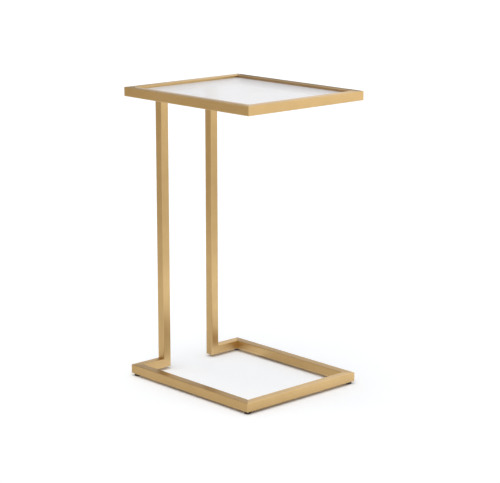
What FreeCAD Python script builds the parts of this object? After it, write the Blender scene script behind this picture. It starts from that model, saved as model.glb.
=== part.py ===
import FreeCAD, Part
import math
import os
from types import SimpleNamespace

import Sketcher

# Pull-up table: a C-shaped side table of welded square steel tube with a pane let into its top.
# The base slides under a sofa and the legs stand at the back, so the top reaches over the seat.
# Millimetres, +Z up, +X to the right, +Y towards the legs.
# The origin is on the floor, under the middle of the top.

# Driving sizes, one name each
DRIVING_SIZES = {
    # Whole table
    "table_height": 610.0,
    "top_width": 313.0,
    "top_depth": 371.0,
    # How far the top reaches over the base on each side, at the front and behind the legs
    "side_overhang": 5.5,
    "front_overhang": 9.0,
    "rear_overhang": 3.0,
    "leg_gap": 117.0,
    # Square tube of every rail and leg
    "tube_side": 19.0,
    "tube_wall": 1.2,
    "tube_inner_radius": 0.4,
    "corner_ease": 1.2,
    # Pane and what carries it
    "pane_recess": 4.8,
    "pane_thickness": 5.0,
    "pane_clearance": 1.0,
    "pane_corner_radius": 3.0,
    "pane_arris": 0.6,
    "ledge_width": 12.0,
    "ledge_thickness": 3.0,
    "bumper_height": 1.0,
    "bumper_inset": 5.0,
    "bumper_foot_diameter": 8.0,
    "bumper_crown_diameter": 6.4,
    # Levelling feet
    "foot_height": 5.0,
    "pad_diameter": 14.0,
    "pad_height": 3.5,
    "pad_chamfer": 0.6,
    "pad_lip": 0.9,
    "thread_diameter": 6.0,
    "thread_pitch": 1.0,
    "shank_length": 15.0,
    "shank_chamfer": 0.8,
    "collar_across_flats": 10.0,
    "neck_diameter": 4.4,
    "head_diameter": 8.0,
    "head_thickness": 1.0,
    "nut_across_flats": 10.0,
    "nut_height": 5.0,
    # Clearances
    "thread_clearance": 0.05,
    "hole_clearance": 0.3,
    "neck_clearance": 0.08,
    "head_clearance": 0.3,
    "cut_overrun": 1.0,
}

# A hexagon's corner radius as a share of its width across flats, and a V thread's depth as one of its pitch
HEXAGON_CORNER_SHARE = 3 ** -0.5
HEXAGON_FLAT_SHARE = HEXAGON_CORNER_SHARE / 2
THREAD_DEPTH_SHARE = 0.61
THREAD_WIDTH_SHARE = 0.8

# How far the middle of a quarter round stands in from its square corner, as a share of its radius
ARC_MIDPOINT_SHARE = 1 - 0.5 ** 0.5

# Right-handed turns, in degrees, that carry a front rail to each side of its frame
QUARTER_TURN = 90
EIGHTH_TURN = QUARTER_TURN / 2
FRONT_TURN = 0
RIGHT_TURN = QUARTER_TURN
REAR_TURN = 2 * QUARTER_TURN
LEFT_TURN = 3 * QUARTER_TURN


class Length:
    """A length in millimetres together with the sheet formula that gives it."""

    def __init__(self, value, formula):
        self.value = value
        self.formula = formula

    def __add__(self, other):
        return Length(self.value + other.value, f"({self.formula} + {other.formula})")

    def __sub__(self, other):
        return Length(self.value - other.value, f"({self.formula} - {other.formula})")

    def __mul__(self, share):
        return Length(self.value * share, f"{self.formula} * {share}")

    def __truediv__(self, number):
        return Length(self.value / number, f"{self.formula} / {number}")

    def __neg__(self):
        return Length(-self.value, f"-{self.formula}")


ZERO = Length(0.0, "0")

doc = FreeCAD.newDocument("pull_up_table")
sheet = doc.addObject("Spreadsheet::Sheet", "sizes")
for row, (alias, number) in enumerate(DRIVING_SIZES.items(), start=1):
    sheet.set(f"A{row}", alias.replace("_", " "))
    sheet.set(f"B{row}", str(number))
    sheet.setAlias(f"B{row}", alias)
doc.recompute()

size = SimpleNamespace(
    **{alias: Length(number, f"sizes.{alias}") for alias, number in DRIVING_SIZES.items()}
)

# Sizes and places that follow from the driving ones
half_top_width = size.top_width / 2
half_top_depth = size.top_depth / 2
base_width = size.top_width - size.side_overhang * 2
base_depth = size.top_depth - size.front_overhang - size.rear_overhang
half_base_width = base_width / 2
base_front = size.front_overhang - half_top_depth
base_back = half_top_depth - size.rear_overhang
half_leg_gap = size.leg_gap / 2
half_tube = size.tube_side / 2
top_underside = size.table_height - size.tube_side
leg_length = top_underside - size.foot_height
stub_length = half_base_width - half_leg_gap
opening_width = size.top_width - size.tube_side * 2
opening_depth = size.top_depth - size.tube_side * 2
pane_width = opening_width - size.pane_clearance * 2
pane_depth = opening_depth - size.pane_clearance * 2
pane_underside = size.table_height - size.pane_recess - size.pane_thickness
ledge_top = pane_underside - size.bumper_height
collar_height = size.foot_height - size.pad_height
thread_radius = size.thread_diameter / 2

sub_parts = []


def bind(item, path, length):
    item.setExpression(path, length.formula)


def place(item, x, y, z, turn=FreeCAD.Rotation()):
    """Put an object at three named lengths, turned as given, and bind the place to the sheet."""
    item.Placement = FreeCAD.Placement(FreeCAD.Vector(x.value, y.value, z.value), turn)
    bind(item, ".Placement.Base.x", x)
    bind(item, ".Placement.Base.y", y)
    bind(item, ".Placement.Base.z", z)


def sub_part(item, label):
    item.Label = label
    sub_parts.append(item)
    return item


def origin_feature(body, role):
    return [item for item in body.Origin.OriginFeatures if item.Role == role][0]


def new_sketch(body, name, plane, lift=None):
    """A sketch on one of the body's own origin planes, lifted off it where a length is given."""
    sketch = body.newObject("Sketcher::SketchObject", name)
    sketch.AttachmentSupport = [(origin_feature(body, plane), "")]
    sketch.MapMode = "FlatFace"
    if lift is not None:
        bind(sketch, "AttachmentOffset.Base.z", lift)
    return sketch


def hold(sketch, kind, geometry, vertex, length):
    """Hold one vertex at a named distance from the sketch's origin, along X or along Y."""
    index = sketch.addConstraint(Sketcher.Constraint(kind, -1, 1, geometry, vertex, length.value))
    name = f"{kind}_{geometry}_{vertex}"
    sketch.renameConstraint(index, name)
    bind(sketch, f"Constraints.{name}", length)


def hold_point(sketch, geometry, vertex, x, y):
    hold(sketch, "DistanceX", geometry, vertex, x)
    hold(sketch, "DistanceY", geometry, vertex, y)


def hold_radius(sketch, geometry, radius):
    index = sketch.addConstraint(Sketcher.Constraint("Radius", geometry, radius.value))
    name = f"Radius_{geometry}"
    sketch.renameConstraint(index, name)
    bind(sketch, f"Constraints.{name}", radius)


def point(x, y):
    return FreeCAD.Vector(x.value, y.value, 0)


def arc(sketch, x, y, radius, start_angle, angle):
    """An arc about a held centre, counterclockwise from its start angle, in degrees."""
    ring = Part.Circle(point(x, y), FreeCAD.Vector(0, 0, 1), radius.value)
    start = math.radians(start_angle)
    curve = Part.ArcOfCircle(ring, start, start + math.radians(angle))
    index = sketch.addGeometry(curve, False)
    hold_point(sketch, index, 3, x, y)
    return index


def polygon(sketch, corners):
    """A closed outline of straight lines through corners given as pairs of named lengths."""
    first = sketch.GeometryCount
    count = len(corners)
    points = [point(x, y) for x, y in corners]
    for index in range(count):
        sketch.addGeometry(Part.LineSegment(points[index], points[(index + 1) % count]), False)
    for index in range(count):
        following = first + (index + 1) % count
        sketch.addConstraint(Sketcher.Constraint("Coincident", first + index, 2, following, 1))
    for index, (x, y) in enumerate(corners):
        hold_point(sketch, first + index, 1, x, y)


def circle(sketch, x, y, radius):
    ring = Part.Circle(point(x, y), FreeCAD.Vector(0, 0, 1), radius.value)
    index = sketch.addGeometry(ring, False)
    hold_point(sketch, index, 3, x, y)
    hold_radius(sketch, index, radius)


def rounded_rectangle(sketch, left, bottom, right, top, radius):
    """Four straight sides joined by four tangent quarter arcs, held by the arcs' centres."""
    low_x, high_x = left + radius, right - radius
    low_y, high_y = bottom + radius, top - radius
    corner_arcs = [
        arc(sketch, low_x, low_y, radius, REAR_TURN, QUARTER_TURN),
        arc(sketch, high_x, low_y, radius, LEFT_TURN, QUARTER_TURN),
        arc(sketch, high_x, high_y, radius, FRONT_TURN, QUARTER_TURN),
        arc(sketch, low_x, high_y, radius, RIGHT_TURN, QUARTER_TURN),
    ]
    for index, corner_arc in enumerate(corner_arcs):
        next_arc = corner_arcs[(index + 1) % len(corner_arcs)]
        ends = sketch.Geometry[corner_arc].EndPoint, sketch.Geometry[next_arc].StartPoint
        side = sketch.addGeometry(Part.LineSegment(*ends), False)
        sketch.addConstraint(Sketcher.Constraint("Tangent", corner_arc, 2, side, 1))
        sketch.addConstraint(Sketcher.Constraint("Tangent", side, 2, next_arc, 1))
    hold_radius(sketch, corner_arcs[0], radius)


def pad(body, name, sketch, length, reverse=False):
    feature = body.newObject("PartDesign::Pad", name)
    feature.Profile = sketch
    feature.Reversed = reverse
    bind(feature, "Length", length)
    return feature


def pocket_through(body, name, sketch):
    """A cut through the whole body, to both sides of its sketch."""
    feature = body.newObject("PartDesign::Pocket", name)
    feature.Profile = sketch
    feature.SideType = "Symmetric"
    feature.Type = "ThroughAll"
    return feature


# Square tube, along its own X from zero, with its outer face at Y zero and its underside at Z zero.
# An end is left square, mitred flat for a corner that lies level, or mitred upright for one that stands.
# A foot hole goes through the underside at the middle of a mitred corner.


def mitre(body, name, length, end, kind):
    """Cut one end at 45 degrees and ease the corner that its two outer faces make."""
    low, high = -size.cut_overrun, size.tube_side + size.cut_overrun
    ease = size.corner_ease
    eased_tip = ease * ARC_MIDPOINT_SHARE
    plane = "XY_Plane" if kind == "flat" else "XZ_Plane"
    sketch = new_sketch(body, f"{name}_outline", plane)

    def along(distance):
        return distance if end == "start" else length - distance

    if end == "start":
        ease_arc = arc(sketch, along(ease), ease, ease, REAR_TURN + EIGHTH_TURN, EIGHTH_TURN)
        tip_vertex, face_vertex = 1, 2
    else:
        ease_arc = arc(sketch, along(ease), ease, ease, LEFT_TURN, EIGHTH_TURN)
        tip_vertex, face_vertex = 2, 1
    hold_radius(sketch, ease_arc, ease)
    hold(sketch, "DistanceX", ease_arc, tip_vertex, along(eased_tip))
    hold(sketch, "DistanceX", ease_arc, face_vertex, along(ease))

    corners = (
        (along(ease), ZERO),
        (along(ease), low),
        (along(low), low),
        (along(low), high),
        (along(high), high),
        (along(eased_tip), eased_tip),
    )
    last = len(corners) - 1
    sides = [
        sketch.addGeometry(Part.LineSegment(point(*corners[index]), point(*corners[index + 1])), False)
        for index in range(last)
    ]
    for side, corner in zip(sides[1:], corners[1:last]):
        sketch.addConstraint(Sketcher.Constraint("Coincident", side - 1, 2, side, 1))
        hold_point(sketch, side, 1, *corner)
    sketch.addConstraint(Sketcher.Constraint("Coincident", ease_arc, face_vertex, sides[0], 1))
    sketch.addConstraint(Sketcher.Constraint("Coincident", sides[-1], 2, ease_arc, tip_vertex))
    return pocket_through(body, name, sketch)


def foot_hole(body, name, x):
    sketch = new_sketch(body, f"{name}_outline", "XY_Plane")
    circle(sketch, x, half_tube, thread_radius + size.hole_clearance)
    feature = body.newObject("PartDesign::Pocket", name)
    feature.Profile = sketch
    feature.Reversed = True
    bind(feature, "Length", size.tube_wall + size.cut_overrun)
    return feature


def square_tube(label, length, start="flat", end="flat", start_hole=False, end_hole=False):
    body = doc.addObject("PartDesign::Body", label)
    section = new_sketch(body, f"{label}_section", "YZ_Plane")
    outer_radius = size.tube_inner_radius + size.tube_wall
    inner_side = size.tube_side - size.tube_wall
    rounded_rectangle(section, ZERO, ZERO, size.tube_side, size.tube_side, outer_radius)
    rounded_rectangle(
        section, size.tube_wall, size.tube_wall, inner_side, inner_side, size.tube_inner_radius
    )
    pad(body, f"{label}_length", section, length)
    if start != "square":
        mitre(body, f"{label}_start_mitre", length, "start", start)
    if end != "square":
        mitre(body, f"{label}_end_mitre", length, "end", end)
    if start_hole:
        foot_hole(body, f"{label}_start_foot_hole", half_tube)
    if end_hole:
        foot_hole(body, f"{label}_end_foot_hole", length - half_tube)
    return sub_part(body, label)


def level_turn(degrees):
    return FreeCAD.Rotation(FreeCAD.Vector(0, 0, 1), degrees)


# Base frame: three rails and two short rear stubs, open between the legs

base_rails = (
    ("base_front_rail", base_width, -half_base_width, base_front, FRONT_TURN),
    ("base_right_rail", base_depth, half_base_width, base_front, RIGHT_TURN),
    ("base_left_rail", base_depth, -half_base_width, base_back, LEFT_TURN),
)
for label, length, x, y, degrees in base_rails:
    rail = square_tube(label, length, start_hole=True, end_hole=True)
    place(rail, x, y, size.foot_height, level_turn(degrees))

stub = square_tube("base_rear_stub_right", stub_length, end="upright", start_hole=True)
place(stub, half_base_width, base_back, size.foot_height, level_turn(REAR_TURN))

stub = square_tube("base_rear_stub_left", stub_length, start="upright", end_hole=True)
place(stub, -half_leg_gap, base_back, size.foot_height, level_turn(REAR_TURN))

# Legs: each rises from its stub's upright mitre and is cut square under the rear rail of the top.
# A leg's own X points up. Its outer face, at its own Y zero, looks at the other leg.

x_axis = FreeCAD.Vector(1, 0, 0)
y_axis = FreeCAD.Vector(0, 1, 0)
z_axis = FreeCAD.Vector(0, 0, 1)

leg = square_tube("leg_right", leg_length, end="square")
leg_turn = FreeCAD.Rotation(z_axis, x_axis, y_axis, "XYZ")
place(leg, half_leg_gap, base_back - size.tube_side, size.foot_height, leg_turn)

leg = square_tube("leg_left", leg_length, end="square")
leg_turn = FreeCAD.Rotation(z_axis, -x_axis, -y_axis, "XYZ")
place(leg, -half_leg_gap, base_back, size.foot_height, leg_turn)

# Top frame: four rails mitred level

top_rails = (
    ("top_front_rail", size.top_width, -half_top_width, -half_top_depth, FRONT_TURN),
    ("top_right_rail", size.top_depth, half_top_width, -half_top_depth, RIGHT_TURN),
    ("top_rear_rail", size.top_width, half_top_width, half_top_depth, REAR_TURN),
    ("top_left_rail", size.top_depth, -half_top_width, half_top_depth, LEFT_TURN),
)
for label, length, x, y, degrees in top_rails:
    rail = square_tube(label, length)
    place(rail, x, y, top_underside, level_turn(degrees))

# Ledge: four flat strips welded to the rails' inner faces, the side ones between the long ones


def ledge_strip(label, x, y, width, depth):
    strip = doc.addObject("Part::Box", label)
    bind(strip, "Length", width)
    bind(strip, "Width", depth)
    bind(strip, "Height", size.ledge_thickness)
    place(strip, x, y, ledge_top - size.ledge_thickness)
    return sub_part(strip, label)


inner_left = -opening_width / 2
inner_front = -opening_depth / 2
side_strip_depth = opening_depth - size.ledge_width * 2
ledge_strip("ledge_front", inner_left, inner_front, opening_width, size.ledge_width)
ledge_strip(
    "ledge_rear", inner_left, -inner_front - size.ledge_width, opening_width, size.ledge_width
)
ledge_strip(
    "ledge_left", inner_left, inner_front + size.ledge_width, size.ledge_width, side_strip_depth
)
ledge_strip(
    "ledge_right",
    -inner_left - size.ledge_width,
    inner_front + size.ledge_width,
    size.ledge_width,
    side_strip_depth,
)

# Bumpers: clear silicone dots stuck on the ledge a little way in from the pane's edges,
# at its corners and halfway along its sides

dots = []
dot_column = pane_width / 2 - size.bumper_inset
dot_row = pane_depth / 2 - size.bumper_inset
for x in (-dot_column, dot_column):
    for y in (-dot_row, ZERO, dot_row):
        dot = doc.addObject("Part::Cone", f"bumper_{len(dots) + 1}")
        bind(dot, "Radius1", size.bumper_foot_diameter / 2)
        bind(dot, "Radius2", size.bumper_crown_diameter / 2)
        bind(dot, "Height", size.bumper_height)
        place(dot, x, y, ledge_top)
        dots.append(dot)
bumpers = doc.addObject("Part::Compound", "pane_bumpers")
bumpers.Links = dots
sub_part(bumpers, "pane_bumpers")

# Pane: flat frosted glass with rounded corners and ground edges, dropped in between the rails

pane = doc.addObject("PartDesign::Body", "glass_pane")
pane_outline = new_sketch(pane, "pane_outline", "XY_Plane")
rounded_rectangle(pane_outline, ZERO, ZERO, pane_width, pane_depth, size.pane_corner_radius)
pane_slab = pad(pane, "pane_slab", pane_outline, size.pane_thickness)
doc.recompute()
flat_edges = [
    f"Edge{number}"
    for number, edge in enumerate(pane_slab.Shape.Edges, start=1)
    if edge.BoundBox.ZLength < size.pane_arris.value
]
ground_edge = pane.newObject("PartDesign::Chamfer", "ground_edge")
ground_edge.Base = (pane_slab, flat_edges)
bind(ground_edge, "Size", size.pane_arris)
place(pane, -pane_width / 2, -pane_depth / 2, pane_underside)
sub_part(pane, "glass_pane")

# Levelling feet: under each base corner a nut is welded inside the tube, over the foot hole.
# A steel stud with a hexagon collar screws into it, and a moulded pad is snapped over the stud's head.
# The pad stays still on the floor while the stud turns.

foot_places = {
    "front_left": (-half_base_width + half_tube, base_front + half_tube),
    "front_right": (half_base_width - half_tube, base_front + half_tube),
    "rear_right": (half_base_width - half_tube, base_back - half_tube),
    "rear_left": (-half_base_width + half_tube, base_back - half_tube),
}

head_bottom = size.pad_height - size.pad_lip - size.neck_clearance - size.head_thickness
head_top = head_bottom + size.head_thickness
collar_bottom = size.pad_height
collar_top = collar_bottom + collar_height
shank_top = collar_top + size.shank_length
head_radius = size.head_diameter / 2
neck_radius = size.neck_diameter / 2
flat_radius = size.collar_across_flats / 2


def hexagon(across_flats):
    """Six corners about the origin, two of its flats facing along Y."""
    corner = across_flats * HEXAGON_CORNER_SHARE
    half_flat = across_flats * HEXAGON_FLAT_SHARE
    half_width = across_flats / 2
    return (
        (corner, ZERO),
        (half_flat, half_width),
        (-half_flat, half_width),
        (-corner, ZERO),
        (-half_flat, -half_width),
        (half_flat, -half_width),
    )


def foot_stud(label):
    """Stud with its own Z zero on the floor at rest: head, neck, hexagon collar and threaded shank."""
    body = doc.addObject("PartDesign::Body", label)
    profile = new_sketch(body, f"{label}_profile", "XZ_Plane")
    outline = (
        (ZERO, head_bottom),
        (head_radius, head_bottom),
        (head_radius, head_top),
        (neck_radius, head_top),
        (neck_radius, collar_bottom),
        (flat_radius, collar_bottom),
        (flat_radius, collar_top),
        (thread_radius, collar_top),
        (thread_radius, shank_top - size.shank_chamfer),
        (thread_radius - size.shank_chamfer, shank_top),
        (ZERO, shank_top),
    )
    polygon(profile, outline)
    turned = body.newObject("PartDesign::Revolution", f"{label}_turned")
    turned.Profile = profile
    turned.ReferenceAxis = (profile, ["V_Axis"])
    hex_outline = new_sketch(body, f"{label}_collar_outline", "XY_Plane", lift=collar_bottom)
    polygon(hex_outline, hexagon(size.collar_across_flats))
    pad(body, f"{label}_collar", hex_outline, collar_height)

    first_groove = collar_top + size.thread_pitch
    half_groove = size.thread_pitch * THREAD_WIDTH_SHARE / 2
    half_overrun = half_groove + half_groove
    crest = thread_radius + size.thread_pitch * THREAD_DEPTH_SHARE
    root = thread_radius - size.thread_pitch * THREAD_DEPTH_SHARE
    groove_outline = new_sketch(body, f"{label}_groove_outline", "XZ_Plane")
    groove_corners = (
        (root, first_groove),
        (crest, first_groove - half_overrun),
        (crest, first_groove + half_overrun),
    )
    polygon(groove_outline, groove_corners)
    doc.recompute()
    groove = body.newObject("PartDesign::Groove", f"{label}_groove")
    groove.Profile = groove_outline
    groove.ReferenceAxis = (groove_outline, ["V_Axis"])
    doc.recompute()
    turns = f"floor({size.shank_length.formula} / {size.thread_pitch.formula}) - 1"
    thread = body.newObject("PartDesign::LinearPattern", f"{label}_thread")
    thread.Originals = [groove]
    thread.Direction = (origin_feature(body, "Z_Axis"), [""])
    thread.setExpression("Occurrences", turns)
    thread.setExpression("Length", f"({turns} - 1) * {size.thread_pitch.formula}")
    body.Tip = thread
    return sub_part(body, label)


def foot_pad(label):
    """Round moulded pad, hollow where the stud's head turns in it under a lip."""
    body = doc.addObject("PartDesign::Body", label)
    profile = new_sketch(body, f"{label}_profile", "XZ_Plane")
    radius = size.pad_diameter / 2
    lip_bottom = size.pad_height - size.pad_lip
    socket_radius = head_radius + size.head_clearance
    mouth_radius = neck_radius + size.neck_clearance
    outline = (
        (ZERO, ZERO),
        (radius - size.pad_chamfer, ZERO),
        (radius, size.pad_chamfer),
        (radius, size.pad_height - size.pad_chamfer),
        (radius - size.pad_chamfer, size.pad_height),
        (mouth_radius, size.pad_height),
        (mouth_radius, lip_bottom),
        (socket_radius, lip_bottom),
        (socket_radius, head_bottom - size.neck_clearance),
        (ZERO, head_bottom - size.neck_clearance),
    )
    polygon(profile, outline)
    moulded = body.newObject("PartDesign::Revolution", f"{label}_moulded")
    moulded.Profile = profile
    moulded.ReferenceAxis = (profile, ["V_Axis"])
    return sub_part(body, label)


def weld_nut(name, x, y):
    """Hexagon nut that sits on the tube's bottom wall."""
    blank = doc.addObject("Part::Prism", f"{name}_blank")
    blank.Polygon = 6
    bind(blank, "Circumradius", size.nut_across_flats * HEXAGON_CORNER_SHARE)
    bind(blank, "Height", size.nut_height)
    bore = doc.addObject("Part::Cylinder", f"{name}_bore")
    bind(bore, "Radius", thread_radius + size.thread_clearance)
    bind(bore, "Height", size.nut_height + size.cut_overrun * 2)
    nut_bottom = size.foot_height + size.tube_wall
    place(blank, x, y, nut_bottom)
    place(bore, x, y, nut_bottom - size.cut_overrun)
    nut = doc.addObject("Part::Cut", name)
    nut.Base = blank
    nut.Tool = bore
    return nut


nuts = []
for corner_name, (x, y) in foot_places.items():
    place(foot_pad(f"foot_pad_{corner_name}"), x, y, ZERO)
    place(foot_stud(f"foot_stud_{corner_name}"), x, y, ZERO)
    nuts.append(weld_nut(f"nut_{corner_name}", x, y))
nut_group = doc.addObject("Part::Compound", "foot_weld_nuts")
nut_group.Links = nuts
sub_part(nut_group, "foot_weld_nuts")

# Check every object, then write each sub-part to its own file
doc.recompute()
failed = [item.Label for item in doc.Objects if {"Invalid", "Error"} & set(item.State)]
empty = [item.Label for item in sub_parts if item.Shape.isNull() or not item.Shape.isValid()]
if failed or empty:
    raise RuntimeError(f"failed objects: {failed}; sub-parts without a valid shape: {empty}")

os.makedirs("parts", exist_ok=True)
for item in sub_parts:
    item.Shape.exportStep(f"parts/{item.Label}.step")
    print(f"{item.Label}: {len(item.Shape.Solids)} solids, {item.Shape.Volume:.1f} mm3")
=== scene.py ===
import math

import bmesh
import bpy
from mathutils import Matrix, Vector


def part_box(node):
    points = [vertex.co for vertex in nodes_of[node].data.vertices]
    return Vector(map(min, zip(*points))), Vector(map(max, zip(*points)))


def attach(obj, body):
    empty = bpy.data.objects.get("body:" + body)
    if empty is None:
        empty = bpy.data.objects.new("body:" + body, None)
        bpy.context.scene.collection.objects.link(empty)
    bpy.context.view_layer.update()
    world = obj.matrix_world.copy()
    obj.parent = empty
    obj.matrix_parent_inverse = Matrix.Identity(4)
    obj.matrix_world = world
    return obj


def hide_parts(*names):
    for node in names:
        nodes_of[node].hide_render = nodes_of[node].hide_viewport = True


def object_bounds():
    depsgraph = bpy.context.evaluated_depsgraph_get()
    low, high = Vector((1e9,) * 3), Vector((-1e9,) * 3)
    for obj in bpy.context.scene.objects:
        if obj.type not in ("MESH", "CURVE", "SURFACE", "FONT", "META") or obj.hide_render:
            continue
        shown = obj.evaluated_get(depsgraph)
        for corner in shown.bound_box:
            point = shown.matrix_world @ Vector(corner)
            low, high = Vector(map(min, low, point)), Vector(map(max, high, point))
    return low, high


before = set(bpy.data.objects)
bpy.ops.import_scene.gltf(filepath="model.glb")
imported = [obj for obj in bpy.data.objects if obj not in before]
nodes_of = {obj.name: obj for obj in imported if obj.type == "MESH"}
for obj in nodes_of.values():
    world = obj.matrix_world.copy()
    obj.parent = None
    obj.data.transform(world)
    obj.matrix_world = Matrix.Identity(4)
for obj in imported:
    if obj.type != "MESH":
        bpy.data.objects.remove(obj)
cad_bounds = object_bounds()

# Base frame.
# Three rails and two short rear stubs of 19 mm square steel tube, mitred, welded and ground flush.
# Brushed along each tube, plated and lacquered in a satin gold.


def new_socket(group, name, kind, output=False, value=None):
    """One named socket on a shader or geometry group."""
    socket = group.interface.new_socket(
        name=name, in_out="OUTPUT" if output else "INPUT", socket_type=kind
    )
    if value is not None:
        socket.default_value = value
    return socket


def math_node(tree, operation, first, second=None):
    """A Math node fed by sockets or plain numbers. Gives back its output."""
    node = tree.nodes.new("ShaderNodeMath")
    node.operation = operation
    for slot, value in enumerate((first, second)):
        if value is None:
            continue
        if isinstance(value, (int, float)):
            node.inputs[slot].default_value = value
        else:
            tree.links.new(value, node.inputs[slot])
    return node.outputs[0]


def vector_node(tree, operation, first, second=None):
    """A Vector Math node fed by sockets or plain vectors. Gives back its output."""
    node = tree.nodes.new("ShaderNodeVectorMath")
    node.operation = operation
    for slot, value in enumerate((first, second)):
        if value is None:
            continue
        if isinstance(value, tuple):
            node.inputs[slot].default_value = value
        else:
            tree.links.new(value, node.inputs[slot])
    return node.outputs["Value" if operation in {"DOT_PRODUCT", "LENGTH"} else "Vector"]


def ramp_node(tree, value, low, high, to_low=0.0, to_high=1.0, smooth=False):
    """A value stretched from one range to another and held inside it."""
    node = tree.nodes.new("ShaderNodeMapRange")
    node.interpolation_type = "SMOOTHSTEP" if smooth else "LINEAR"
    node.clamp = True
    for name, number in (
        ("From Min", low),
        ("From Max", high),
        ("To Min", to_low),
        ("To Max", to_high),
    ):
        node.inputs[name].default_value = number
    tree.links.new(value, node.inputs["Value"])
    return node.outputs["Result"]


def mix_colours(tree, factor, first, second):
    """One colour passing into another. Each is a socket or a plain colour."""
    node = tree.nodes.new("ShaderNodeMix")
    node.data_type = "RGBA"
    for name, value in (("Factor_Float", factor), ("A_Color", first), ("B_Color", second)):
        socket = next(item for item in node.inputs if item.identifier == name)
        if isinstance(value, tuple):
            socket.default_value = (*value, 1.0)
        else:
            tree.links.new(value, socket)
    return next(item for item in node.outputs if item.identifier == "Result_Color")


def noise_node(tree, vector, scale, detail=2.0, roughness=0.5):
    """Noise at a scale that is a socket or a plain number."""
    node = tree.nodes.new("ShaderNodeTexNoise")
    node.inputs["Detail"].default_value = detail
    node.inputs["Roughness"].default_value = roughness
    if isinstance(scale, float):
        node.inputs["Scale"].default_value = scale
    else:
        tree.links.new(scale, node.inputs["Scale"])
    tree.links.new(vector, node.inputs["Vector"])
    return node.outputs["Fac"]


NOISE_LOW = 0.3
NOISE_HIGH = 0.7


def noise_span(tree, noise, to_low=0.0, to_high=1.0):
    """Noise keeps near its middle, so its usual span is stretched over the range that is wanted."""
    return ramp_node(tree, noise, NOISE_LOW, NOISE_HIGH, to_low, to_high)


def bump_node(tree, height, strength, distance):
    node = tree.nodes.new("ShaderNodeBump")
    node.inputs["Strength"].default_value = strength
    node.inputs["Distance"].default_value = distance
    tree.links.new(height, node.inputs["Height"])
    return node.outputs["Normal"]


def start_material(name):
    """A material with its surface shader. Gives back the material, its tree and the shader."""
    material = bpy.data.materials.new(name)
    material.use_nodes = True
    shader = material.node_tree.nodes["Principled BSDF"]
    return material, material.node_tree, shader


# Brushed grain: hair lines that run with the tube, a slow change of tone, and a mask of the round
# edges, which the gold uses for rubbed wear and a painted highlight.
# An edge shows by the largest part of its normal, which is near 1 on a flat face.
CLOUD_SCALE = 14.0
FLAT_NORMAL = 0.99
ROUND_NORMAL = 0.82
brushed_grain = bpy.data.node_groups.new("brushed_grain", "ShaderNodeTree")
new_socket(brushed_grain, "Line scale", "NodeSocketVector", value=(1.0, 1.0, 1.0))
new_socket(brushed_grain, "Cloud scale", "NodeSocketFloat", value=CLOUD_SCALE)
for output_name in ("Lines", "Clouds", "Edge"):
    new_socket(brushed_grain, output_name, "NodeSocketFloat", output=True)
grain_in = brushed_grain.nodes.new("NodeGroupInput")
grain_out = brushed_grain.nodes.new("NodeGroupOutput")
grain_place = brushed_grain.nodes.new("ShaderNodeTexCoord")
line_vector = vector_node(
    brushed_grain, "MULTIPLY", grain_place.outputs["Object"], grain_in.outputs["Line scale"]
)
grain_lines = noise_node(brushed_grain, line_vector, 1.0, detail=3.0, roughness=0.65)
grain_clouds = noise_node(
    brushed_grain,
    grain_place.outputs["Object"],
    grain_in.outputs["Cloud scale"],
    detail=3.0,
    roughness=0.55,
)
facing_parts = brushed_grain.nodes.new("ShaderNodeSeparateXYZ")
brushed_grain.links.new(
    vector_node(brushed_grain, "ABSOLUTE", grain_place.outputs["Normal"]), facing_parts.inputs[0]
)
widest = math_node(
    brushed_grain,
    "MAXIMUM",
    math_node(brushed_grain, "MAXIMUM", facing_parts.outputs[0], facing_parts.outputs[1]),
    facing_parts.outputs[2],
)
grain_edge = ramp_node(brushed_grain, widest, FLAT_NORMAL, ROUND_NORMAL, smooth=True)
brushed_grain.links.new(grain_lines, grain_out.inputs["Lines"])
brushed_grain.links.new(grain_clouds, grain_out.inputs["Clouds"])
brushed_grain.links.new(grain_edge, grain_out.inputs["Edge"])

GOLD_DEEP = (0.500, 0.330, 0.140)
GOLD = (0.620, 0.422, 0.192)
GOLD_RUBBED_AND_HIGHLIT = (0.680, 0.500, 0.262)
LINE_TONE = 0.55
CLOUD_TONE = 0.45
EDGE_RUB_AND_HIGHLIGHT = 0.30
EDGE_POLISH = 0.06
GLOSS_NOISE_LOW = 0.25
GLOSS_NOISE_HIGH = 0.75
LINE_BUMP = 0.35
LINE_DEPTH = 0.00004
GRAIN_STRETCH = 0.75
GRAIN_TURN = 0.25
ALONG = 22.0
ACROSS = 2400.0
LINE_SCALE = {
    "x": (ALONG, ACROSS, ACROSS),
    "y": (ACROSS, ALONG, ACROSS),
    "z": (ACROSS, ACROSS, ALONG),
}


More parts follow.
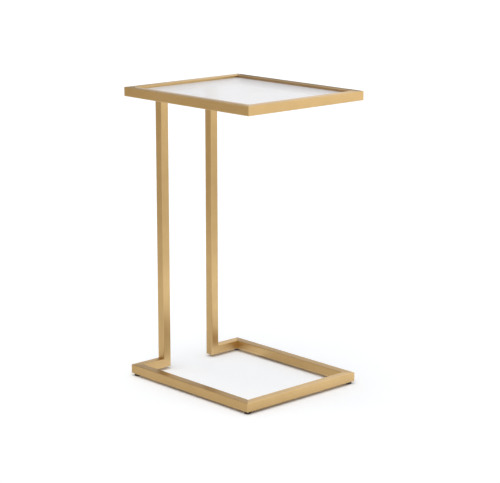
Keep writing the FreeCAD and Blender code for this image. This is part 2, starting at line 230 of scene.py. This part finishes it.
def satin_gold(name, line_scale, deep, colour, rubbed_and_highlit, satin, spread, grain=None):
    """Gold plate over brushed or plain steel. Brushed faces spread the light across the grain."""
    material, tree, shader = start_material(name)
    marks = tree.nodes.new("ShaderNodeGroup")
    marks.node_tree = brushed_grain
    marks.inputs["Line scale"].default_value = line_scale
    marks.inputs["Cloud scale"].default_value = CLOUD_SCALE
    lines = marks.outputs["Lines"]
    edge = marks.outputs["Edge"]
    tone = math_node(
        tree,
        "ADD",
        noise_span(tree, lines, 0.0, LINE_TONE),
        noise_span(tree, marks.outputs["Clouds"], 0.0, CLOUD_TONE),
    )
    plated = mix_colours(tree, tone, deep, colour)
    # Round edges turn to a lighter gold: partly rubbed wear, partly a painted highlight.
    worn_and_highlit = mix_colours(tree, math_node(tree, "MULTIPLY", edge, EDGE_RUB_AND_HIGHLIGHT), plated, rubbed_and_highlit)
    tree.links.new(worn_and_highlit, shader.inputs["Base Color"])
    gloss = math_node(
        tree,
        "SUBTRACT",
        ramp_node(
            tree, lines, GLOSS_NOISE_LOW, GLOSS_NOISE_HIGH, satin - spread / 2, satin + spread / 2
        ),
        math_node(tree, "MULTIPLY", edge, EDGE_POLISH),
    )
    tree.links.new(gloss, shader.inputs["Roughness"])
    tree.links.new(bump_node(tree, lines, LINE_BUMP, LINE_DEPTH), shader.inputs["Normal"])
    shader.inputs["Metallic"].default_value = 1.0
    if grain:
        shader.inputs["Anisotropic"].default_value = GRAIN_STRETCH
        shader.inputs["Anisotropic Rotation"].default_value = GRAIN_TURN
        along = tree.nodes.new("ShaderNodeCombineXYZ")
        along.inputs[grain.upper()].default_value = 1.0
        tree.links.new(along.outputs[0], shader.inputs["Tangent"])
    return material


gold = {
    axis: satin_gold(
        f"satin_gold_along_{axis}",
        line_scale,
        deep=GOLD_DEEP,
        colour=GOLD,
        rubbed_and_highlit=GOLD_RUBBED_AND_HIGHLIT,
        satin=0.36,
        spread=0.10,
        grain=axis,
    )
    for axis, line_scale in LINE_SCALE.items()
}


def finish_node(name, material):
    """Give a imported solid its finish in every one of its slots."""
    item = nodes_of[name]
    if not item.data.materials:
        item.data.materials.append(material)
    for slot in item.material_slots:
        slot.material = material


for rail, axis in (
    ("base_front_rail", "x"),
    ("base_right_rail", "y"),
    ("base_left_rail", "y"),
    ("base_rear_stub_right", "x"),
    ("base_rear_stub_left", "x"),
):
    finish_node(rail, gold[axis])

# Legs.
# Two uprights of the same tube, rising from the stubs in an upright mitre and welded under the top.
# They are brushed up and down.

for leg in ("leg_right", "leg_left"):
    finish_node(leg, gold["z"])

# Top frame.
# Four rails of the same tube, mitred level and welded into a ring that stands proud of the pane.
# The grain turns at each mitre.

for rail, axis in (
    ("top_front_rail", "x"),
    ("top_rear_rail", "x"),
    ("top_left_rail", "y"),
    ("top_right_rail", "y"),
):
    finish_node(rail, gold[axis])

# Ledge.
# Four flat steel strips welded to the inner faces of the rails, to carry the pane.
# They are plated with the frame but not brushed, so they are duller.

LEDGE_GRAIN = (420.0, 420.0, 420.0)
LEDGE_SHADE = 0.9
ledge_gold = satin_gold(
    "ledge_gold",
    LEDGE_GRAIN,
    deep=tuple(LEDGE_SHADE * part for part in GOLD_DEEP),
    colour=tuple(LEDGE_SHADE * part for part in GOLD),
    rubbed_and_highlit=GOLD,
    satin=0.50,
    spread=0.12,
)
for strip in ("ledge_front", "ledge_rear", "ledge_left", "ledge_right"):
    finish_node(strip, ledge_gold)

# Ledge welds.
# Short stitches of weld hold each ledge strip to its rail from below, three to a side.
# Each is one rippled bead in the corner between the strip's underside and the rail.

STITCH_LENGTH = 0.016
STITCH_PLACES = (-0.36, 0.0, 0.36)
BEAD_RADIUS = 0.0014
BEAD_SIDES = 12
BEAD_STEP = 0.0003
RIPPLE_PITCH = 0.0018
RIPPLE_DEPTH = 0.18
END_SHARPNESS = 8.0
END_WIDTH = 0.25
MERGE_DISTANCE = 1e-7


def geometry_input(tree, group_in, name, kind, value=None):
    """One named input of a geometry tree. Gives back the socket that carries it inside."""
    new_socket(tree, name, kind, value=value)
    return group_in.outputs[name]


def fresh_tree(name):
    """An empty geometry tree that takes a mesh and gives one back."""
    tree = bpy.data.node_groups.new(name, "GeometryNodeTree")
    new_socket(tree, "Geometry", "NodeSocketGeometry")
    new_socket(tree, "Geometry", "NodeSocketGeometry", output=True)
    return tree, tree.nodes.new("NodeGroupInput"), tree.nodes.new("NodeGroupOutput")


def finish_tree(tree, group_out, mesh, finish):
    """End a geometry tree: instances made real, smooth shading, one finish."""
    whole = tree.nodes.new("GeometryNodeRealizeInstances")
    tree.links.new(mesh, whole.inputs[0])
    smooth = tree.nodes.new("GeometryNodeSetShadeSmooth")
    tree.links.new(whole.outputs[0], smooth.inputs[0])
    paint = tree.nodes.new("GeometryNodeSetMaterial")
    tree.links.new(smooth.outputs[0], paint.inputs[0])
    tree.links.new(finish, paint.inputs["Material"])
    tree.links.new(paint.outputs[0], group_out.inputs[0])


def grown_mesh(name, points, edges, tree, inputs):
    """Run a geometry tree over points and edges, and keep its result as a plain mesh object."""
    seed = bpy.data.meshes.new(name)
    seed.from_pydata(points, edges, [])
    item = bpy.data.objects.new(name, seed)
    bpy.context.scene.collection.objects.link(item)
    modifier = item.modifiers.new(name, "NODES")
    modifier.node_group = tree
    for socket in tree.interface.items_tree:
        if socket.in_out == "INPUT" and socket.name in inputs:
            modifier[socket.identifier] = inputs[socket.name]
    evaluated = item.evaluated_get(bpy.context.evaluated_depsgraph_get())
    grown = bpy.data.meshes.new_from_object(evaluated)
    item.modifiers.remove(modifier)
    shape = bmesh.new()
    shape.from_mesh(grown)
    bmesh.ops.remove_doubles(shape, verts=shape.verts, dist=MERGE_DISTANCE)
    bmesh.ops.recalc_face_normals(shape, faces=shape.faces)
    shape.to_mesh(grown)
    shape.free()
    item.data = grown
    bpy.data.meshes.remove(seed)
    return item


bead_tree, bead_in, bead_out = fresh_tree("weld_beads")
bead_radius = geometry_input(bead_tree, bead_in, "Bead radius", "NodeSocketFloat", BEAD_RADIUS)
bead_pitch = geometry_input(bead_tree, bead_in, "Ripple pitch", "NodeSocketFloat", RIPPLE_PITCH)
bead_step = geometry_input(bead_tree, bead_in, "Step", "NodeSocketFloat", BEAD_STEP)
bead_finish = geometry_input(bead_tree, bead_in, "Finish", "NodeSocketMaterial")
stitch_lines = bead_tree.nodes.new("GeometryNodeMeshToCurve")
bead_tree.links.new(bead_in.outputs["Geometry"], stitch_lines.inputs["Mesh"])
fine_lines = bead_tree.nodes.new("GeometryNodeResampleCurve")
fine_lines.mode = "LENGTH"
bead_tree.links.new(stitch_lines.outputs["Curve"], fine_lines.inputs["Curve"])
bead_tree.links.new(bead_step, fine_lines.inputs["Length"])
along_bead = bead_tree.nodes.new("GeometryNodeSplineParameter")
half_turns = math_node(
    bead_tree,
    "DIVIDE",
    math_node(bead_tree, "MULTIPLY", along_bead.outputs["Length"], math.pi),
    bead_pitch,
)
ripple = math_node(bead_tree, "ABSOLUTE", math_node(bead_tree, "SINE", half_turns))
twice_along = math_node(bead_tree, "MULTIPLY", along_bead.outputs["Factor"], 2.0)
from_middle = math_node(
    bead_tree, "ABSOLUTE", math_node(bead_tree, "SUBTRACT", twice_along, 1.0)
)
end_taper = math_node(
    bead_tree, "SUBTRACT", 1.0, math_node(bead_tree, "POWER", from_middle, END_SHARPNESS)
)
rippled = math_node(
    bead_tree,
    "ADD",
    math_node(bead_tree, "MULTIPLY", ripple, RIPPLE_DEPTH),
    1.0 - RIPPLE_DEPTH,
)
bead_swell = math_node(
    bead_tree, "MULTIPLY", rippled, math_node(bead_tree, "MAXIMUM", end_taper, END_WIDTH)
)
bead_ring = bead_tree.nodes.new("GeometryNodeCurvePrimitiveCircle")
bead_ring.inputs["Resolution"].default_value = BEAD_SIDES
bead_tree.links.new(bead_radius, bead_ring.inputs["Radius"])
bead_sweep = bead_tree.nodes.new("GeometryNodeCurveToMesh")
bead_sweep.inputs["Fill Caps"].default_value = True
bead_tree.links.new(fine_lines.outputs["Curve"], bead_sweep.inputs["Curve"])
bead_tree.links.new(bead_ring.outputs["Curve"], bead_sweep.inputs["Profile Curve"])
bead_tree.links.new(bead_swell, bead_sweep.inputs["Scale"])
finish_tree(bead_tree, bead_out, bead_sweep.outputs["Mesh"], bead_finish)

ledge_low, ledge_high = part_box("ledge_front")
left_side, right_side = ledge_low.x, ledge_high.x
front_side, back_side = ledge_low.y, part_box("ledge_rear")[1].y
weld_height = ledge_low.z
half_stitch = STITCH_LENGTH / 2
stitch_points = []
stitch_edges = []
for share in STITCH_PLACES:
    middle_x = (left_side + right_side) / 2 + share * (right_side - left_side)
    middle_y = (front_side + back_side) / 2 + share * (back_side - front_side)
    for start, end in (
        ((middle_x - half_stitch, front_side), (middle_x + half_stitch, front_side)),
        ((middle_x - half_stitch, back_side), (middle_x + half_stitch, back_side)),
        ((left_side, middle_y - half_stitch), (left_side, middle_y + half_stitch)),
        ((right_side, middle_y - half_stitch), (right_side, middle_y + half_stitch)),
    ):
        stitch_edges.append((len(stitch_points), len(stitch_points) + 1))
        stitch_points += [(*start, weld_height), (*end, weld_height)]
ledge_welds = grown_mesh(
    "ledge_welds",
    stitch_points,
    stitch_edges,
    bead_tree,
    {
        "Bead radius": BEAD_RADIUS,
        "Ripple pitch": RIPPLE_PITCH,
        "Step": BEAD_STEP,
        "Finish": ledge_gold,
    },
)
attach(ledge_welds, "frame")

# Bumpers.
# Six clear silicone dots stuck on the ledge, domed, with flat undersides.
# The pane rests on their crowns.

DRIFT_COARSER = 12
DULL_LESS = 0.05
DULL_MORE = 0.07
MOULD_BUMP = 0.3


def moulded(name, dark, light, scale, dull, height):
    """Plain moulded or rolled finish: fine even grain, with a slow drift in tone."""
    material, tree, shader = start_material(name)
    place = tree.nodes.new("ShaderNodeTexCoord").outputs["Object"]
    fine = noise_node(tree, place, scale, detail=3.0, roughness=0.6)
    slow = noise_node(tree, place, scale / DRIFT_COARSER, detail=1.0)
    tone = math_node(
        tree, "ADD", noise_span(tree, fine, 0.0, 0.5), noise_span(tree, slow, 0.0, 0.5)
    )
    tree.links.new(mix_colours(tree, tone, dark, light), shader.inputs["Base Color"])
    roughness = noise_span(tree, fine, dull - DULL_LESS, dull + DULL_MORE)
    tree.links.new(roughness, shader.inputs["Roughness"])
    tree.links.new(bump_node(tree, fine, MOULD_BUMP, height), shader.inputs["Normal"])
    return material, shader


silicone, shader = moulded(
    "clear_silicone",
    dark=(0.86, 0.87, 0.86),
    light=(0.93, 0.94, 0.93),
    scale=500.0,
    dull=0.16,
    height=2e-5,
)
shader.inputs["Alpha"].default_value = 0.45
shader.inputs["IOR"].default_value = 1.41

DOT_RADIUS = 0.004
DOT_INSET = 0.005
DOT_SEGMENTS = 32
DOT_RINGS = 16
pane_low, pane_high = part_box("glass_pane")
dots_low, dots_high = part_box("pane_bumpers")
DOT_HEIGHT = dots_high.z - dots_low.z
dot_tree, dot_in, dot_out = fresh_tree("bumper_dots")
dot_radius = geometry_input(dot_tree, dot_in, "Dot radius", "NodeSocketFloat", DOT_RADIUS)
dot_height = geometry_input(dot_tree, dot_in, "Dot height", "NodeSocketFloat", DOT_HEIGHT)
dot_finish = geometry_input(dot_tree, dot_in, "Finish", "NodeSocketMaterial")
dot_ball = dot_tree.nodes.new("GeometryNodeMeshUVSphere")
dot_ball.inputs["Segments"].default_value = DOT_SEGMENTS
dot_ball.inputs["Rings"].default_value = DOT_RINGS
dot_ball.inputs["Radius"].default_value = 1.0
ball_point = dot_tree.nodes.new("GeometryNodeInputPosition")
ball_parts = dot_tree.nodes.new("ShaderNodeSeparateXYZ")
dot_tree.links.new(ball_point.outputs[0], ball_parts.inputs[0])
upper_half = math_node(dot_tree, "MAXIMUM", ball_parts.outputs[2], 0.0)
dome_point = dot_tree.nodes.new("ShaderNodeCombineXYZ")
for axis_index, part, size in (
    (0, ball_parts.outputs[0], dot_radius),
    (1, ball_parts.outputs[1], dot_radius),
    (2, upper_half, dot_height),
):
    dot_tree.links.new(
        math_node(dot_tree, "MULTIPLY", part, size), dome_point.inputs[axis_index]
    )
dome = dot_tree.nodes.new("GeometryNodeSetPosition")
dot_tree.links.new(dot_ball.outputs["Mesh"], dome.inputs["Geometry"])
dot_tree.links.new(dome_point.outputs[0], dome.inputs["Position"])
dot_copies = dot_tree.nodes.new("GeometryNodeInstanceOnPoints")
dot_tree.links.new(dot_in.outputs["Geometry"], dot_copies.inputs["Points"])
dot_tree.links.new(dome.outputs["Geometry"], dot_copies.inputs["Instance"])
finish_tree(dot_tree, dot_out, dot_copies.outputs[0], dot_finish)

dot_points = [
    (x, y, dots_low.z)
    for x in (pane_low.x + DOT_INSET, pane_high.x - DOT_INSET)
    for y in (pane_low.y + DOT_INSET, (pane_low.y + pane_high.y) / 2, pane_high.y - DOT_INSET)
]
bumper_dots = grown_mesh(
    "bumper_dots",
    dot_points,
    [],
    dot_tree,
    {"Dot radius": DOT_RADIUS, "Dot height": DOT_HEIGHT, "Finish": silicone},
)
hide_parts("pane_bumpers")
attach(bumper_dots, "frame")

# Pane.
# A flat pane of tempered white glass, frosted underneath, with rounded corners and ground edges.
# It drops in between the rails and lifts out.

MILK_DEEP = (0.715, 0.715, 0.735)
MILK_LIGHT = (0.755, 0.75, 0.77)
GREEN_DEEP = (0.50, 0.62, 0.57)
GREEN_LIGHT = (0.58, 0.68, 0.64)
EDGE_NORMAL = 0.60
FACE_NORMAL = 0.95
EDGE_ROUGHNESS = 0.42
FACE_ROUGHNESS = 0.22
ETCH_SCALE = 1800.0
ETCH_SMOOTHER = -0.02
ETCH_ROUGHER = 0.03
ETCH_BUMP = 0.15
ETCH_DEPTH = 0.00001
DRIFT_SCALE = 9.0
COVER_FROM_OUTSIDE = 0.89
COVER_FROM_INSIDE = 0.35

pane_glass, tree, shader = start_material("frosted_pane")
pane_place = tree.nodes.new("ShaderNodeTexCoord")
pane_normal = tree.nodes.new("ShaderNodeSeparateXYZ")
tree.links.new(pane_place.outputs["Normal"], pane_normal.inputs[0])
level = math_node(tree, "ABSOLUTE", pane_normal.outputs[2])
flat = ramp_node(tree, level, EDGE_NORMAL, FACE_NORMAL)
etch = noise_node(tree, pane_place.outputs["Object"], ETCH_SCALE, roughness=0.6)
drift = noise_node(tree, pane_place.outputs["Object"], DRIFT_SCALE)
milk = mix_colours(tree, noise_span(tree, drift), MILK_DEEP, MILK_LIGHT)
edge_green = mix_colours(tree, noise_span(tree, etch), GREEN_DEEP, GREEN_LIGHT)
tree.links.new(mix_colours(tree, flat, edge_green, milk), shader.inputs["Base Color"])
pane_roughness = math_node(
    tree,
    "ADD",
    ramp_node(tree, flat, 0.0, 1.0, EDGE_ROUGHNESS, FACE_ROUGHNESS),
    noise_span(tree, etch, ETCH_SMOOTHER, ETCH_ROUGHER),
)
tree.links.new(pane_roughness, shader.inputs["Roughness"])
tree.links.new(bump_node(tree, etch, ETCH_BUMP, ETCH_DEPTH), shader.inputs["Normal"])
from_inside = tree.nodes.new("ShaderNodeNewGeometry").outputs["Backfacing"]
pane_cover = ramp_node(tree, from_inside, 0.0, 1.0, COVER_FROM_OUTSIDE, COVER_FROM_INSIDE)
tree.links.new(pane_cover, shader.inputs["Alpha"])
shader.inputs["IOR"].default_value = 1.5
finish_node("glass_pane", pane_glass)

# Levelling feet.
# At each base corner a moulded nylon pad is snapped over the head of a blackened steel stud.
# The stud screws into a zinc-plated nut that is welded inside the tube.

black_nylon, shader = moulded(
    "black_nylon",
    dark=(0.010, 0.010, 0.011),
    light=(0.022, 0.022, 0.023),
    scale=1400.0,
    dull=0.52,
    height=4e-5,
)
shader.inputs["IOR"].default_value = 1.53
black_steel, shader = moulded(
    "blackened_steel",
    dark=(0.035, 0.035, 0.038),
    light=(0.075, 0.075, 0.080),
    scale=900.0,
    dull=0.34,
    height=2e-5,
)
shader.inputs["Metallic"].default_value = 1.0
zinc, shader = moulded(
    "zinc_plate",
    dark=(0.50, 0.51, 0.52),
    light=(0.66, 0.67, 0.69),
    scale=700.0,
    dull=0.28,
    height=2e-5,
)
shader.inputs["Metallic"].default_value = 1.0

for corner in ("front_left", "front_right", "rear_right", "rear_left"):
    finish_node(f"foot_pad_{corner}", black_nylon)
    finish_node(f"foot_stud_{corner}", black_steel)
finish_node("foot_weld_nuts", zinc)

# Studio.
# A white floor in a white room, under one broad soft light from high on the left.
# Upright boards off to the sides are there for reflections alone. Three small ones at the rim are
# painted shade and a painted highlight, seen only in the rails' reflections.

FLOOR_REACH = 60.0
FLOOR_WHITE = 0.92
SQUARE = ((-1, -1), (1, -1), (1, 1), (-1, 1))
floor_mesh = bpy.data.meshes.new("studio_floor")
floor_mesh.from_pydata(
    [(side_x * FLOOR_REACH, side_y * FLOOR_REACH, 0.0) for side_x, side_y in SQUARE],
    [],
    [(0, 1, 2, 3)],
)
floor = bpy.data.objects.new("studio_floor", floor_mesh)
bpy.context.scene.collection.objects.link(floor)

floor_paint, tree, shader = start_material("white_floor")
tree.nodes.remove(shader)
matte = tree.nodes.new("ShaderNodeBsdfDiffuse")
matte.inputs["Color"].default_value = (FLOOR_WHITE, FLOOR_WHITE, FLOOR_WHITE, 1.0)
floor_place = tree.nodes.new("ShaderNodeTexCoord").outputs["Object"]
floor_path = tree.nodes.new("ShaderNodeLightPath")


def outline_distance(low, high):
    """How far a place on the floor lies outside a box that is seen from above."""
    middle = ((low.x + high.x) / 2, (low.y + high.y) / 2, 0.0)
    half = ((high.x - low.x) / 2, (high.y - low.y) / 2, 0.0)
    from_middle = vector_node(tree, "ABSOLUTE", vector_node(tree, "SUBTRACT", floor_place, middle))
    past_edge = vector_node(tree, "SUBTRACT", from_middle, half)
    return vector_node(tree, "LENGTH", vector_node(tree, "MAXIMUM", past_edge, (0.0, 0.0, 0.0)))


def floor_glow(strength, tint, ray):
    """A lift of the floor that only one kind of ray meets."""
    glow = tree.nodes.new("ShaderNodeEmission")
    glow.inputs["Color"].default_value = (*tint, 1.0)
    tree.links.new(math_node(tree, "MULTIPLY", strength, ray), glow.inputs["Strength"])
    return glow.outputs[0]


def add_shaders(first, second):
    both = tree.nodes.new("ShaderNodeAddShader")
    tree.links.new(first, both.inputs[0])
    tree.links.new(second, both.inputs[1])
    return both.outputs[0]


# What the camera sees: a painted glow that lifts the floor to white away from the rails, more so at
# the back; right at the rails it is left out, so only the rendered contact shadow stays.
CONTACT_SHADOW_REACH = 0.005
VIEW_GLOW_FRONT = 0.095
VIEW_GLOW_BACK = 0.17
VIEW_GLOW_TINT = (0.86, 1.0, 1.18)
TO_BACK = (0.68, 0.73, 0.0)
BACK_STARTS = -0.15
BACK_ENDS = 0.17
rail_gap = outline_distance(*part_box("base_front_rail"))
for rail in ("base_left_rail", "base_right_rail", "base_rear_stub_left", "base_rear_stub_right"):
    rail_gap = math_node(tree, "MINIMUM", rail_gap, outline_distance(*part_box(rail)))
towards_back = vector_node(tree, "DOT_PRODUCT", floor_place, TO_BACK)
view_strength = math_node(
    tree,
    "MULTIPLY",
    ramp_node(tree, rail_gap, 0.0, CONTACT_SHADOW_REACH, smooth=True),
    ramp_node(tree, towards_back, BACK_STARTS, BACK_ENDS, VIEW_GLOW_FRONT, VIEW_GLOW_BACK),
)
view_ray = math_node(
    tree, "MAXIMUM", floor_path.outputs["Is Camera Ray"], floor_path.outputs["Is Transmission Ray"]
)
view_glow = floor_glow(view_strength, VIEW_GLOW_TINT, view_ray)

# What the metal reflects: a painted glow on the floor that only reflections see, dim under the table,
# lighter outside it, most so at the right front, and a patch between the side rails just in front of
# the stubs that paints a highlight into the stubs' faces.
METAL_GLOW_UNDER = 0.02
METAL_GLOW_OPEN = 0.06
METAL_GLOW_TINT = (0.86, 1.0, 1.28)
UNDER_EDGE = 0.04
FAR_FADE_STARTS = 0.1
FAR_FADE_ENDS = 1.2
TO_RIGHT_FRONT = (0.65, -0.76, 0.0)
FRONT_LIFT = 10.0
FRONT_LIFT_EDGE = 0.20
STUB_LIFT = 0.50
STUB_LIFT_REACH = 0.055
STUB_LIFT_EDGE = 0.02
outside = outline_distance(*cad_bounds)
near_glow = ramp_node(
    tree, outside, 0.0, UNDER_EDGE, METAL_GLOW_UNDER, METAL_GLOW_OPEN, smooth=True
)
far_fade = ramp_node(tree, outside, FAR_FADE_STARTS, FAR_FADE_ENDS, 1.0, 0.0, smooth=True)
towards_front = vector_node(tree, "DOT_PRODUCT", floor_place, TO_RIGHT_FRONT)
front_lift = ramp_node(tree, towards_front, 0.0, FRONT_LIFT_EDGE, 1.0, FRONT_LIFT, smooth=True)
stub_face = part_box("base_rear_stub_right")[0].y
by_stubs = outline_distance(
    Vector((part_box("base_left_rail")[1].x, stub_face - STUB_LIFT_REACH, 0.0)),
    Vector((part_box("base_right_rail")[0].x, stub_face, 0.0)),
)
stub_lift = ramp_node(tree, by_stubs, 0.0, STUB_LIFT_EDGE, STUB_LIFT, 0.0, smooth=True)
faded_glow = math_node(tree, "MULTIPLY", near_glow, far_fade)
metal_strength = math_node(
    tree, "ADD", math_node(tree, "MULTIPLY", faded_glow, front_lift), stub_lift
)
metal_glow = floor_glow(metal_strength, METAL_GLOW_TINT, floor_path.outputs["Is Glossy Ray"])

# Seen from below, the floor is clear, so the underside shows.
floor_face = add_shaders(add_shaders(matte.outputs[0], view_glow), metal_glow)
clear = tree.nodes.new("ShaderNodeBsdfTransparent")
from_below = tree.nodes.new("ShaderNodeMixShader")
tree.links.new(tree.nodes.new("ShaderNodeNewGeometry").outputs["Backfacing"], from_below.inputs[0])
tree.links.new(floor_face, from_below.inputs[1])
tree.links.new(clear.outputs[0], from_below.inputs[2])
tree.links.new(from_below.outputs[0], tree.nodes["Material Output"].inputs["Surface"])
floor_mesh.materials.append(floor_paint)

ROOM_FILL = 0.55
world = bpy.data.worlds.new("white_studio")
bpy.context.scene.world = world
world.use_nodes = True
tree = world.node_tree
backdrop = tree.nodes["Background"]
backdrop.inputs["Color"].default_value = (1.0, 1.0, 1.0, 1.0)
room_path = tree.nodes.new("ShaderNodeLightPath")
seen = math_node(
    tree, "MAXIMUM", room_path.outputs["Is Camera Ray"], room_path.outputs["Is Glossy Ray"]
)
seen = math_node(tree, "MAXIMUM", seen, room_path.outputs["Is Transmission Ray"])
tree.links.new(ramp_node(tree, seen, 0.0, 1.0, ROOM_FILL, 1.0), backdrop.inputs["Strength"])


def glossy_card(name, place, half_width, half_height, colour, outward):
    """An upright board that faces the table and shows in reflections only. An outward one works
    from its other side alone."""
    across = Vector((place[1], -place[0], 0.0)).normalized() * half_width
    rise = Vector((0.0, 0.0, half_height))
    mesh = bpy.data.meshes.new(name)
    mesh.from_pydata(
        [Vector(place) + across * side + rise * up for side, up in SQUARE], [], [(0, 1, 2, 3)]
    )
    board = bpy.data.objects.new(name, mesh)
    bpy.context.scene.collection.objects.link(board)
    board.visible_camera = False
    board.visible_diffuse = False
    board.visible_shadow = False
    board.visible_transmission = False
    material, tree, shader = start_material(name)
    tree.nodes.remove(shader)
    face = tree.nodes.new("ShaderNodeEmission")
    face.inputs["Color"].default_value = (*colour, 1.0)
    shown = face.outputs[0]
    if outward:
        one_side = tree.nodes.new("ShaderNodeMixShader")
        from_behind = tree.nodes.new("ShaderNodeNewGeometry").outputs["Backfacing"]
        tree.links.new(from_behind, one_side.inputs[0])
        tree.links.new(tree.nodes.new("ShaderNodeBsdfTransparent").outputs[0], one_side.inputs[1])
        tree.links.new(face.outputs[0], one_side.inputs[2])
        shown = one_side.outputs[0]
    tree.links.new(shown, tree.nodes["Material Output"].inputs["Surface"])
    mesh.materials.append(material)


for name, place, half_width, half_height, colour, outward in (
    ("grey_card", (-0.95, 1.05, 0.70), 1.0, 0.70, (0.68, 0.63, 0.55), False),
    ("front_card", (0.52, -0.61, 0.79), 0.75, 0.40, (1.45, 1.47, 1.50), False),
    ("dark_card", (0.79, 2.95, 2.50), 1.40, 1.24, (0.30, 0.29, 0.27), False),
    ("right_card", (2.87, 1.04, 2.50), 1.25, 1.24, (1.35, 1.38, 1.45), False),
    # Two dark boards at the right rail paint shade into its top and inner face; a bright one at the
    # left rail paints a highlight into its top.
    ("rim_painted_shade", (0.158, 0.0, 0.6135), 0.18, 0.003, (0.20, 0.19, 0.17), False),
    ("inner_painted_shade", (0.1312, 0.0, 0.6111), 0.165, 0.0055, (0.32, 0.27, 0.36), True),
    ("rim_painted_highlight", (-0.136, 0.0, 0.6135), 0.175, 0.003, (1.10, 1.12, 1.18), False),
):
    glossy_card(name, place, half_width, half_height, colour, outward)

LIGHT_PLACE = Vector((-0.22, -0.12, 0.92))
LIGHT_POWER = 1.6
LIGHT_SPREAD = 60.0
high_light = bpy.data.lights.new("high_light", "SUN")
high_light.energy = LIGHT_POWER
high_light.angle = math.radians(LIGHT_SPREAD)
lamp = bpy.data.objects.new("high_light", high_light)
lamp.location = LIGHT_PLACE
lamp.rotation_euler = (-LIGHT_PLACE).to_track_quat("-Z", "Y").to_euler()
lamp.visible_camera = False
lamp.visible_glossy = False
bpy.context.scene.collection.objects.link(lamp)

# Camera.
# It looks at the table from the front left, from a little above the top.

SENSOR_WIDTH = 36.0
LENS = 123.20
FAR_CLIP = 200.0
CAMERA_PLACE = (-2.3144, -2.5121, 1.0796)
CAMERA_DOWN = 12.927
CAMERA_RIGHT = 42.893
camera = bpy.data.objects.new("camera", bpy.data.cameras.new("camera"))
camera.data.sensor_width = SENSOR_WIDTH
camera.data.lens = LENS
camera.data.clip_end = FAR_CLIP
camera.location = CAMERA_PLACE
camera.rotation_euler = (math.radians(90.0 - CAMERA_DOWN), 0.0, math.radians(-CAMERA_RIGHT))
bpy.context.scene.collection.objects.link(camera)
bpy.context.scene.camera = camera

bpy.context.scene.view_settings.view_transform = "Standard"

bpy.context.view_layer.update()
